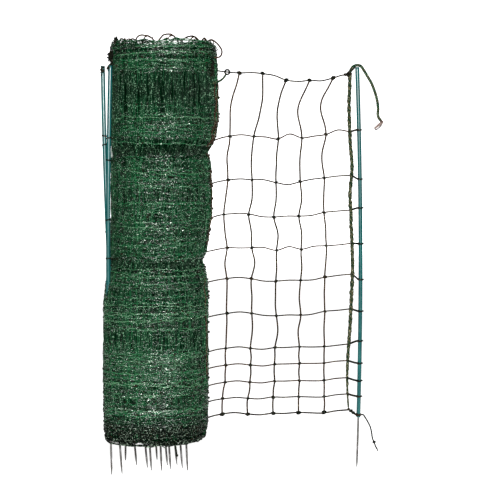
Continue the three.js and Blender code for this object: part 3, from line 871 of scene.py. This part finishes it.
def knot_piece(name, centre, size, ends=()):
    pieces = Pieces()
    knot_wraps(pieces, centre, size, 0.2)
    for end in ends:
        pieces.tubes(smooth_path([centre, end], 0.002), 0.0013, 5, tones=0.7)
    return add_piece(name, pieces, netting_dark, "netting_brown")


GROUND_TAIL_KNOT = 7
tail_knot = knot_piece("ground_line_knot", ground_tail_route[GROUND_TAIL_KNOT], 0.0048)
frayed_end = ground_tail_route[-1]
tail_fray = knot_piece("ground_line_fray", frayed_end, 0.0016, [
    frayed_end + np.array([0.003, 0, -0.006]), frayed_end + np.array([-0.001, 0.001, -0.006])])
roll_tail_knot = knot_piece("roll_line_knot", roll_tail_route[-1], 0.0042)


# The roll: a near-black core, painted shade for the net's inner turns, and the net's outer turns as real strands

CORE_DEPTH = 0.006
CORE_BOTTOM = 0.107
CORE_TOP = 1.302
CORE_HOLLOW = 0.02


def roll_piece(name, shape, material):
    add_piece(name, shape, material, "netting_green", "net_roll")


def core():
    heights = np.concatenate([[CORE_BOTTOM], np.linspace(CORE_BOTTOM + 0.004, CORE_TOP - 0.004, 110), [CORE_TOP]])
    grid_bearings, grid_heights = np.meshgrid(round_angles(72), heights)
    side = roll_point(grid_bearings, grid_heights, CORE_DEPTH)
    rows, columns = grid_heights.shape
    points = [side.reshape(-1, 3)]
    index = np.arange(rows * columns).reshape(rows, columns)
    quads = np.stack([index[:-1], np.roll(index[:-1], -1, 1), np.roll(index[1:], -1, 1), index[1:]], axis=-1)
    for end, inward in ((CORE_BOTTOM, CORE_HOLLOW), (CORE_TOP, -CORE_HOLLOW)):
        points.append([[roll_middle(end), ROLL_Y, end + inward]])
    low, high = rows * columns, rows * columns + 1
    first, last = index[0], index[-1]
    bottom = np.stack([np.full(columns, low), np.roll(first, -1), first], axis=-1)
    top = np.stack([np.full(columns, high), last, np.roll(last, -1)], axis=-1)
    pieces = Pieces()
    points = np.concatenate(points)
    pieces.add(points, quads.reshape(-1, 4), np.concatenate([bottom, top]), points * 0, np.zeros(len(points)))
    return pieces


roll_piece("roll_core", core(), roll_core_painted_shade)

TURNS = 46
TURN_DEPTH = 0.008
DEEPEST = CORE_DEPTH + 0.002
MEAN_RADIUS = 0.155
LINE_LIFTS = np.linspace(-0.034, 0.042, TOP_LINE + 1)
LINE_SPREADS = np.array([34, 44, 50, 52, 62, 84, 86, 84, 84, 80, 66, 60]) / 1000
ROLL_STRAND_RADIUS = 0.0013
HEM_STRAND_RADIUS = 0.0019
STAYS_A_TURN = 16
STAY_POINTS = 48
STAY_DEPTH = 0.0015
STAY_SHAKE = 0.004
STAY_SWAY = 0.007
STAY_DEPTH_CHANGE = 0.0014
KNOTS_SHOWN = 0.7
KNOT_SHOWN_DEPTH = 0.006
KNOT_STANDS_OUT = 0.0012
RING_POINTS = 120
RING_SAG = 0.0035
RING_TILT = 0.006
RING_SHAKE = 0.0026
RING_DEPTH_CHANGE = 0.0024


def soft_noise(count, knots, size, closed=False):
    """Smooth random values along a strand."""
    values = random.normal(0, size, knots + 1)
    if closed:
        values[-1] = values[0]
    spots = np.linspace(0, knots, count, endpoint=not closed)
    low = np.minimum(spots.astype(int), knots - 1)
    share = spots - low
    share = share * share * (3 - 2 * share)
    return values[low] * (1 - share) + values[low + 1] * share


# Painted shade: strands are darkened where the roll is drawn in at its waists and in the open cells under its top
# band, where shade falls, and in one more band low down, at 0.165 m
PAINTED_SHADE_BANDS = [(WAISTS[0], 0.014, 0.6), (WAISTS[1], 0.015, 0.9), (1.168, 0.034, 0.55), (0.165, 0.030, 0.5)]


def painted_shade_factor(height):
    return 1 - sum(depth * np.exp(-(((height - middle) / width) ** 2)) for middle, width, depth in PAINTED_SHADE_BANDS)


roll_stays = [Pieces(), Pieces()]
roll_lines = [Pieces(), Pieces(), Pieces()]
roll_hems, roll_knots = Pieces(), Pieces()
ring_angle = round_angles(RING_POINTS)


def outwards(path, heights):
    """From the roll's axis at the heights to each point of a path."""
    return path - np.stack([roll_middle(heights), np.full(heights.shape, ROLL_Y), heights], axis=-1)


def turn_stays(target, heights, depth, phase, shade):
    """The stays of one turn of the net, and the knots on them."""
    spots = np.arange(STAYS_A_TURN) + random.uniform(-0.2, 0.2, STAYS_A_TURN)
    run = np.linspace(heights[0], heights[-1], STAY_POINTS)
    paths = []
    for bearing in phase + 2 * math.pi * spots / STAYS_A_TURN:
        sway = soft_noise(STAY_POINTS, 24, STAY_SHAKE) + soft_noise(STAY_POINTS, 6, STAY_SWAY)
        path_bearing = bearing + sway / MEAN_RADIUS
        deep = np.clip(STAY_DEPTH + depth + soft_noise(STAY_POINTS, 30, STAY_DEPTH_CHANGE), 0, DEEPEST)
        paths.append(roll_point(path_bearing, run, deep))
        knot_depths = np.interp(heights, run, deep)
        keep = (knot_depths < KNOT_SHOWN_DEPTH) & (random.random(len(heights)) < KNOTS_SHOWN)
        sizes = random.uniform(0.0024, 0.0038, keep.sum())[:, None] * np.array([1, 1, 0.9])
        if keep.any():
            knot_bearings = np.interp(heights, run, path_bearing)
            places = roll_point(knot_bearings[keep], heights[keep], knot_depths[keep] - KNOT_STANDS_OUT)
            roll_knots.lumps(places, sizes, SMALL_LUMP)
    paths = np.array(paths)
    # Painted shade: the deeper the turn, the darker its stays' tones, as the turns over it shade it
    tones = np.clip(0.15 + 0.45 * shade + random.normal(0, 0.25, STAYS_A_TURN), 0, 1.1)
    # Painted shade bands darken the stays by height
    tones = tones[:, None] * painted_shade_factor(paths[..., 2])
    target.tubes(paths, ROLL_STRAND_RADIUS, 3, outward=outwards(paths, paths[..., 2]), tones=tones)


def turn_lines(target, heights, depth, phase, shade):
    """The lines of one turn of the net, each a closed ring."""
    for line, height in enumerate(heights):
        sag = RING_SAG * np.abs(np.sin((ring_angle - phase) * STAYS_A_TURN / 2)) * random.uniform(-1, 1)
        tilt = RING_TILT * np.sin(ring_angle + random.random() * 6)
        run = height + sag + tilt + soft_noise(RING_POINTS, 60, RING_SHAKE, closed=True)
        deep = np.clip(depth + soft_noise(RING_POINTS, 74, RING_DEPTH_CHANGE, closed=True), -0.001, DEEPEST)
        path = roll_point(ring_angle, run, deep)
        # Painted shade: the deeper the turn, the darker its line's tone, and darker again in the painted shade bands
        tone = float(np.clip(0.2 + 0.5 * shade + random.normal(0, 0.28), 0, 1.1)) * painted_shade_factor(height)
        shape, radius = (target, ROLL_STRAND_RADIUS) if line else (roll_hems, HEM_STRAND_RADIUS)
        shape.tubes(path, radius, 3, outward=outwards(path, run), closed=True, tones=tone)


for turn in range(TURNS):
    depth = TURN_DEPTH * turn / (TURNS - 1)
    phase = random.random() * 2 * math.pi
    slip = random.uniform(-1, 1, TOP_LINE + 1) * 0.6 + random.uniform(-0.4, 0.4)
    heights = LINE_HEIGHTS + LINE_LIFTS + LINE_SPREADS * slip
    # Painted shade: 1 for the outermost turn, 0 for the deepest, darkening the strands' tones
    shade = 1 - depth / TURN_DEPTH
    turn_stays(roll_stays[turn % 2], heights, depth, phase, shade)
    turn_lines(roll_lines[turn % 3], heights, depth, phase, shade)

# More turns of the top line and of the ground line show at the rim and at the hem
RIM_RINGS = 16
HEM_CORDS = 5


def end_ring(target, height, depth, wave, radius, sides, deepest_tone):
    """A turn that wanders up and down round an end of the roll."""
    depth = random.uniform(0, depth)
    run = height + soft_noise(RING_POINTS, 30, wave, closed=True)
    run = run + 0.4 * wave * np.sin(ring_angle + random.random() * 6)
    deep = depth + soft_noise(RING_POINTS, 50, 0.0022, closed=True)
    held = np.clip(run, ROLL_BOTTOM + 0.002, ROLL_TOP - 0.003)
    path = roll_point(ring_angle, held, deep)
    path[:, 2] = run
    out = path - np.stack([roll_middle(held), np.full(RING_POINTS, ROLL_Y), run], axis=-1)
    target.tubes(path, radius, sides, outward=out, closed=True, tones=random.uniform(0, deepest_tone))


for ring in range(RIM_RINGS):
    end_ring(roll_lines[ring % 3], 1.296 + 0.022 * ring / RIM_RINGS, 0.010, 0.0042, 0.0015, 3, 0.7)
for ring in range(HEM_CORDS):
    end_ring(roll_hems, 0.100 + 0.012 * ring / HEM_CORDS, 0.006, 0.0030, 0.0024, 4, 0.6)

for number, shape in enumerate(roll_stays, start=1):
    roll_piece(f"roll_stays_{number}", shape, stay_green)
for number, shape in enumerate(roll_lines, start=1):
    roll_piece(f"roll_lines_{number}", shape, netting_green)
roll_piece("roll_hems", roll_hems, hem_dark)
roll_piece("roll_knots", roll_knots, netting_dark)


# Loose strands of the roll: loops over its rim, tangles at its corners, ties on the outer posts

rim_loops, tangles = Pieces(), Pieces()


LOOP_POINTS = 16
LOOP_FOOT = ROLL_TOP - 0.026
LOOP_FOOT_HIDDEN = 0.012


def rim_loop(bearing, width, rise, depth, thickness=0.0017):
    """A slack loop of the top line that stands up over the rim."""
    share = np.linspace(0, 1, LOOP_POINTS)
    arch = np.sin(math.pi * share)
    turn = bearing + width / ROLL_END_RADII[-1] * (share - 0.5) * (1 + 0.4 * arch)
    height = LOOP_FOOT + (rise + LOOP_FOOT_HIDDEN) * arch + random.normal(0, 0.001, LOOP_POINTS)
    radius = ROLL_END_RADII[-1] - depth * (1 - 0.4 * share)
    outward = circle(turn)
    path = np.array([roll_middle(ROLL_TOP), ROLL_Y, 0]) + radius[:, None] * outward
    path[:, 2] = height
    rim_loops.tubes(path, thickness * random.uniform(0.85, 1.15), 5, outward=outward, tones=random.uniform(0.5, 1))
    if random.random() < 0.5:
        rim_loops.lumps([path[random.integers(3, 13)]], 0.0034, SMALL_LUMP)


# Bearing in degrees, width and rise of each
FRONT_LOOPS = [
    (214, 0.040, 0.010), (250, 0.074, 0.017), (279, 0.066, 0.019), (309, 0.078, 0.016), (332, 0.040, 0.012)]
for bearing, width, rise in FRONT_LOOPS:
    rim_loop(math.radians(bearing), width, rise, 0.002, 0.0026)
    rim_loop(math.radians(bearing + 5), width * 0.6, rise * 0.8, 0.006, 0.0021)
for loop in range(54):
    rim_loop(random.uniform(0, 2 * math.pi), random.uniform(0.020, 0.055), random.uniform(-0.006, 0.011),
             random.uniform(0.001, 0.030))

CORNER_LOOP = [(-0.070, -0.060, 1.318), (-0.058, -0.062, 1.323), (-0.043, -0.060, 1.314), (-0.031, -0.058, 1.300),
               (-0.0265, -0.056, 1.290), (-0.028, -0.055, 1.278), (-0.035, -0.055, 1.271), (-0.050, -0.056, 1.270)]
rim_loops.tubes(smooth_path(CORNER_LOOP, 0.003), 0.0025, 6, tones=0.9)


def tangle(centre, reach, strands, knots_in_it):
    """A knotted clump of slack strand."""
    centre, reach = np.array(centre), np.array(reach)
    for strand in range(strands):
        spots = centre + reach * random.normal(0, 0.55, (6, 3))
        tangles.tubes(smooth_path(spots, 0.004), 0.0013, 4, outward=random.normal(0, 1, 3))
    spots = centre + reach * random.normal(0, 0.5, (knots_in_it, 3))
    tangles.lumps(spots, random.uniform(0.0026, 0.0042, (knots_in_it, 1)) * np.ones(3), SMALL_LUMP)


# Middle, reach, strands and knots of each
TANGLES = [
    ((-0.361, -0.082, 1.270), (0.008, 0.014, 0.016), 10, 18), ((-0.345, -0.080, 1.316), (0.007, 0.012, 0.011), 9, 14),
    ((-0.388, -0.064, 1.232), (0.005, 0.007, 0.012), 8, 14), ((-0.366, -0.082, 1.240), (0.006, 0.008, 0.009), 7, 12),
    ((-0.064, -0.078, 1.226), (0.014, 0.016, 0.034), 22, 44)]
for middle, reach, strands, knots_in_it in TANGLES:
    tangle(middle, reach, strands, knots_in_it)

# Slack strands down the side that the flat stretch leaves from, and knots that stand out at both sides
SIDE_STRANDS = [(-14, 1.205, 0.965), (-22, 1.190, 1.000), (-10, 0.930, 0.700), (-16, 0.600, 0.300)]
for bearing, top, bottom in SIDE_STRANDS:
    run = np.linspace(top, bottom, 50)
    turn = math.radians(bearing) + soft_noise(50, 8, 0.035)
    path = roll_point(turn, run, -0.0015 + soft_noise(50, 10, 0.0012))
    rim_loops.tubes(path, 0.0017, 5, outward=(0.3, 1, 0), tones=0.9)
SIDE_KNOTS = 70
side_bearings = np.where(random.random(SIDE_KNOTS) < 0.65, 0, math.pi) + random.normal(0, 0.16, SIDE_KNOTS)
side_heights = random.uniform(0.14, 1.16, SIDE_KNOTS)
tangles.lumps(roll_point(side_bearings, side_heights, np.full(SIDE_KNOTS, -0.0016)),
              random.uniform(0.0030, 0.0046, (SIDE_KNOTS, 1)) * np.ones(3), SMALL_LUMP)

# Where strands are knotted to the two outer posts
POST_TIE_HEIGHTS = [(1.027, 0.960, 0.780, 0.663), (1.033, 1.007, 0.743, 0.641)]
for stake, heights in zip(stakes, POST_TIE_HEIGHTS):
    for height in heights:
        post = stake_axis(stake, height)
        ring_round(tangles, post, POST_RADIUS + 0.0012, 0.0012, 1.6, random.random(), random.uniform(-0.002, 0.002))
        knot_wraps(tangles, post + np.array([0.003, -POST_RADIUS - 0.002, 0]), 0.0024, random.random())
        inside = post + random.uniform((0.030, 0.004, -0.02), (0.045, 0.014, 0.02))
        arm = [post + np.array([POST_RADIUS, -0.002, 0]), (post + inside) / 2 - (0, 0, 0.003), inside]
        tangles.tubes(smooth_path(arm, 0.005), 0.0012, 4, tones=random.random())

# Slack stays that bridge the waists beside the front post
bridging = Pieces()
for strand in range(18):
    count = 60
    height = np.linspace(random.uniform(0.56, 0.62), random.uniform(1.22, 1.27), count)
    x = random.uniform(-0.364, -0.340) + soft_noise(count, 12, 0.0035)
    y = random.uniform(-0.066, -0.030) + soft_noise(count, 8, 0.003)
    bridging.tubes(np.stack([x, y, height], axis=1), ROLL_STRAND_RADIUS, 4)
roll_piece("bridging_stays", bridging, stay_green)
roll_piece("rim_loops", rim_loops, netting_brown)
roll_piece("tangles", tangles, netting_dark)

# Knotted corner where the top line, the end cord and the feed lead meet
WAD_ROUTE = np.array([
    (0.354, -0.001, 1.221), (0.364, -0.002, 1.227), (0.373, -0.002, 1.237), (0.381, -0.001, 1.246)])
corner_wad = Pieces()
for strand in range(7):
    spots = WAD_ROUTE + random.normal(0, 0.0022, (4, 3))
    corner_wad.tubes(smooth_path(spots, 0.003), 0.0017, 6, tones=random.random())
for spot in ((0.352, 0, 1.221), (0.360, -0.002, 1.218), (0.367, -0.002, 1.224)):
    knot_wraps(corner_wad, spot, 0.0050, random.random())
add_piece("corner_wad", corner_wad, netting_dark, "cord_green", "end_cord")


# The inner turns show on both ends of the roll

END_TURNS = 34
END_STAY_LENGTH = 0.075
END_TURN_RADIUS = 0.0015
end_turns = Pieces()


def end_turn(radius, edge, stay_length):
    """A turn inside the roll as it shows at one end: its edge, and the ends of its stays."""
    count = max(12, int(2 * math.pi * radius / 0.016))
    height = edge + random.uniform(-0.022, 0.022)
    run = height + soft_noise(count, 8, 0.006, closed=True)
    wander = radius + soft_noise(count, 8, 0.0025, closed=True)
    middle = np.array([float(roll_middle(edge)), ROLL_Y, height])
    outward = circle(round_angles(count))
    path = middle + wander[:, None] * outward
    path[:, 2] = run
    end_turns.tubes(path, END_TURN_RADIUS, 4, outward=outward, closed=True)
    stay_total = max(2, int(2 * math.pi * radius / STAY_PITCH))
    for spot in middle + radius * circle(random.random(stay_total) * 2 * math.pi):
        foot = spot + (*random.normal(0, 0.006, 2), -stay_length)
        end_turns.tubes(np.linspace(spot, foot, 5), ROLL_STRAND_RADIUS, 3)
        end_turns.lumps([spot], 0.0034, SMALL_LUMP)


for turn in range(END_TURNS):
    radius = 0.012 + 0.128 * (turn / (END_TURNS - 1)) ** 0.8
    end_turn(radius, ROLL_TOP - 0.045, END_STAY_LENGTH)
    end_turn(radius, ROLL_BOTTOM + 0.030, -END_STAY_LENGTH)
roll_piece("roll_end_turns", end_turns, netting_dark)


# Floor, backdrop and light

def stage_plane(name, sides, position, turn, glow):
    bpy.ops.mesh.primitive_plane_add(size=1, location=position, rotation=turn)
    plane = bpy.context.object
    plane.name = name
    plane.scale = (*sides, 1)
    shader = Shader(name)
    shader.surface("Base Color", (0.93, 0.93, 0.93))
    shader.surface("Roughness", 0.9)
    shader.surface("Specular IOR Level", 0.0)
    shader.surface("Emission Color", WHITE)
    shader.surface("Emission Strength", glow)
    plane.data.materials.append(shader.material)


STAGE_WIDTH = 6
FLOOR_FRONT = -0.7
BACKDROP_DISTANCE = 9
BACKDROP_HEIGHT = 5
floor_middle = (FLOOR_FRONT + BACKDROP_DISTANCE) / 2
stage_plane("floor", (STAGE_WIDTH, BACKDROP_DISTANCE - FLOOR_FRONT), (0, floor_middle, 0), (0, 0, 0), 0.96)
stage_plane("backdrop", (STAGE_WIDTH, BACKDROP_HEIGHT), (0, BACKDROP_DISTANCE, BACKDROP_HEIGHT / 2),
            (math.pi / 2, 0, 0), 1.0)

world = bpy.data.worlds.new("studio")
world.use_nodes = True
world.node_tree.nodes["Background"].inputs["Color"].default_value = (1, 1, 1, 1)
world.node_tree.nodes["Background"].inputs["Strength"].default_value = 0.05
bpy.context.scene.world = world
bpy.context.scene.view_settings.view_transform = "Standard"


LIGHT_PLACE = Vector((0.05, -4.3, 1.75))
LIGHT_AIM = Vector((-0.1, 0, 0.7))
light = bpy.data.lights.new("front_light", "AREA")
light.shape = "DISK"
light.size = 0.35
light.energy = 440
lamp = bpy.data.objects.new("front_light", light)
lamp.location = LIGHT_PLACE
lamp.rotation_euler = (LIGHT_AIM - LIGHT_PLACE).to_track_quat("-Z", "Y").to_euler()
bpy.context.collection.objects.link(lamp)
